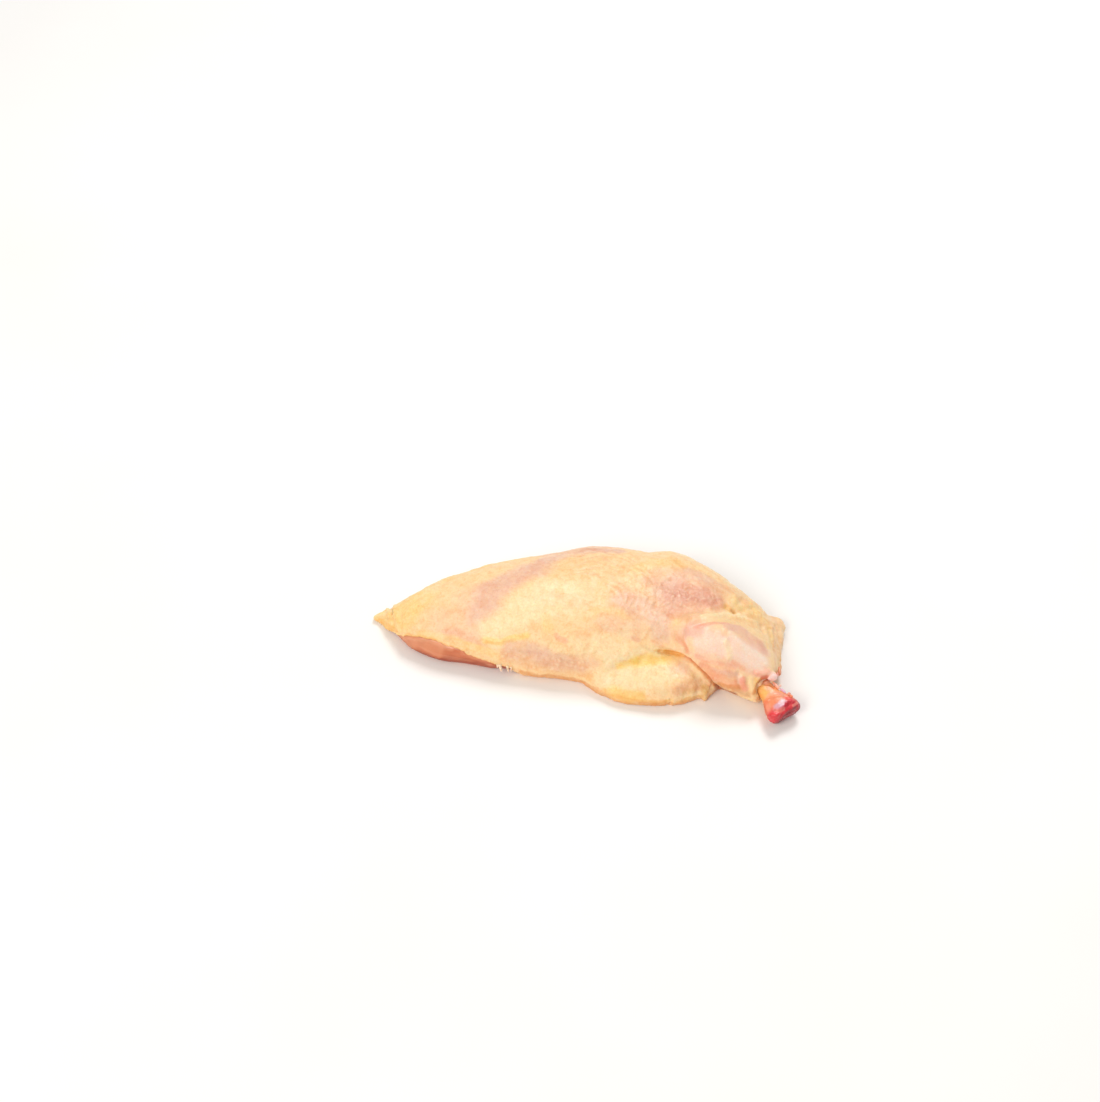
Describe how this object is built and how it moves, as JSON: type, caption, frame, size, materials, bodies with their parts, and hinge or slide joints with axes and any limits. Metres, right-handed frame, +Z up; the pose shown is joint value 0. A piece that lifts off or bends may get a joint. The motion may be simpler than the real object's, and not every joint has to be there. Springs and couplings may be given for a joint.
{
  "type": "raw chicken supreme",
  "caption": "Raw skin-on chicken breast with the wing's drumette folded beside it and a bared wing bone, lying skin side up.",
  "frame": {"origin": "middle of the overall bounding box, on the plane of the flat cut face that it rests on", "axes": "+X along the length from the tail tip to the wing bone, +Y from the drumette's side to the far side, +Z up, out of the skin side"},
  "size_m": [0.2156, 0.0902, 0.0306],
  "materials": {
    "chicken_skin": "moist raw skin, pale yellow fat over pink meat",
    "raw_bone": "moist raw bone with red tissue at its knob"
  },
  "bodies": {
    "root": {"breast": "chicken_skin", "wing_bone": "raw_bone"}
  },
  "joints": []
}
